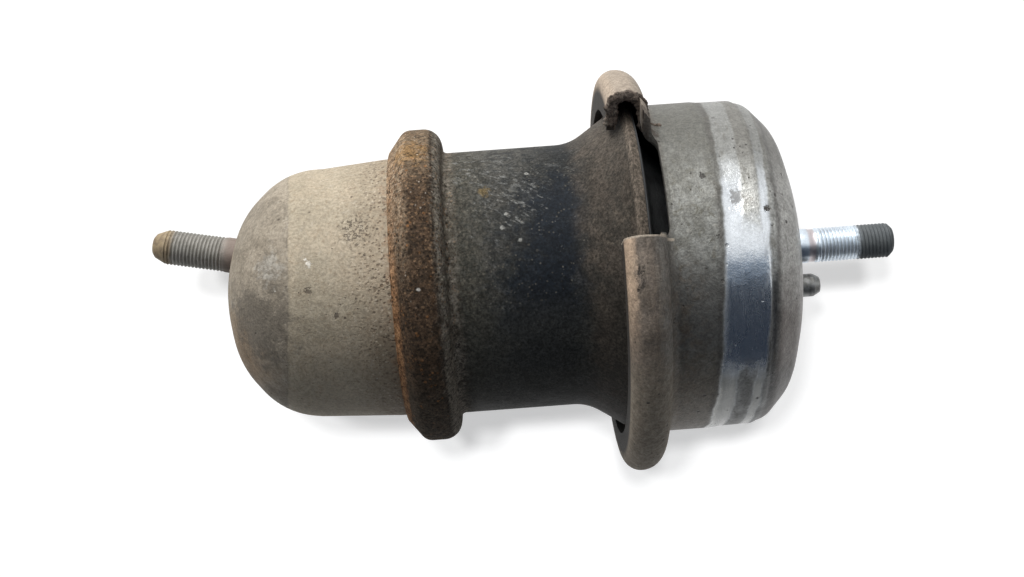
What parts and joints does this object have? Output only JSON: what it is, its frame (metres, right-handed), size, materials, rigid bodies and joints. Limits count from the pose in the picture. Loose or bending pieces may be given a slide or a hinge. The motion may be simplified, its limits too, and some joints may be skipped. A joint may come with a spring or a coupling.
{
  "type": "hydraulic engine mount",
  "caption": "Liquid-filled engine mount: stopper cup with curled rim and window over a flared sleeve, crimped lower can, threaded studs at both ends and a locating pin.",
  "frame": {"origin": "where the body axis meets the flat in the middle of the lower can's end (chassis side)", "axes": "+Z along the body axis from the lower can to the stopper cup (engine side); -X is the side the lower stud leans to, +X the side of the locating pin; the studs and the pin lie in the XZ plane"},
  "size_m": [0.138, 0.138, 0.2558],
  "materials": {
    "cup_steel": "worn",
    "core_alloy": "cast",
    "stud_zinc": "zinc plated, dirty end",
    "pin_steel": "dull",
    "rubber": "matte",
    "inner_steel": "plain",
    "sleeve_steel": "worn black, rusty crimp",
    "can_steel": "dusty, pitted",
    "stud_dull": "dirty, light rust"
  },
  "bodies": {
    "root": {"stopper_cup": "cup_steel", "inner_core": "core_alloy", "upper_stud": "stud_zinc", "locating_pin": "pin_steel", "main_spring": "rubber", "bell_plate": "inner_steel", "bell_screw": "inner_steel", "outer_sleeve": "sleeve_steel", "track_cover": "inner_steel", "decoupler_disc": "rubber", "track_body": "core_alloy", "track_rivet_1": "inner_steel", "track_rivet_2": "inner_steel", "track_rivet_3": "inner_steel", "diaphragm": "rubber", "clamp_ring": "inner_steel", "lower_can": "can_steel", "backing_plate": "inner_steel", "lower_stud": "stud_dull"}
  },
  "joints": []
}
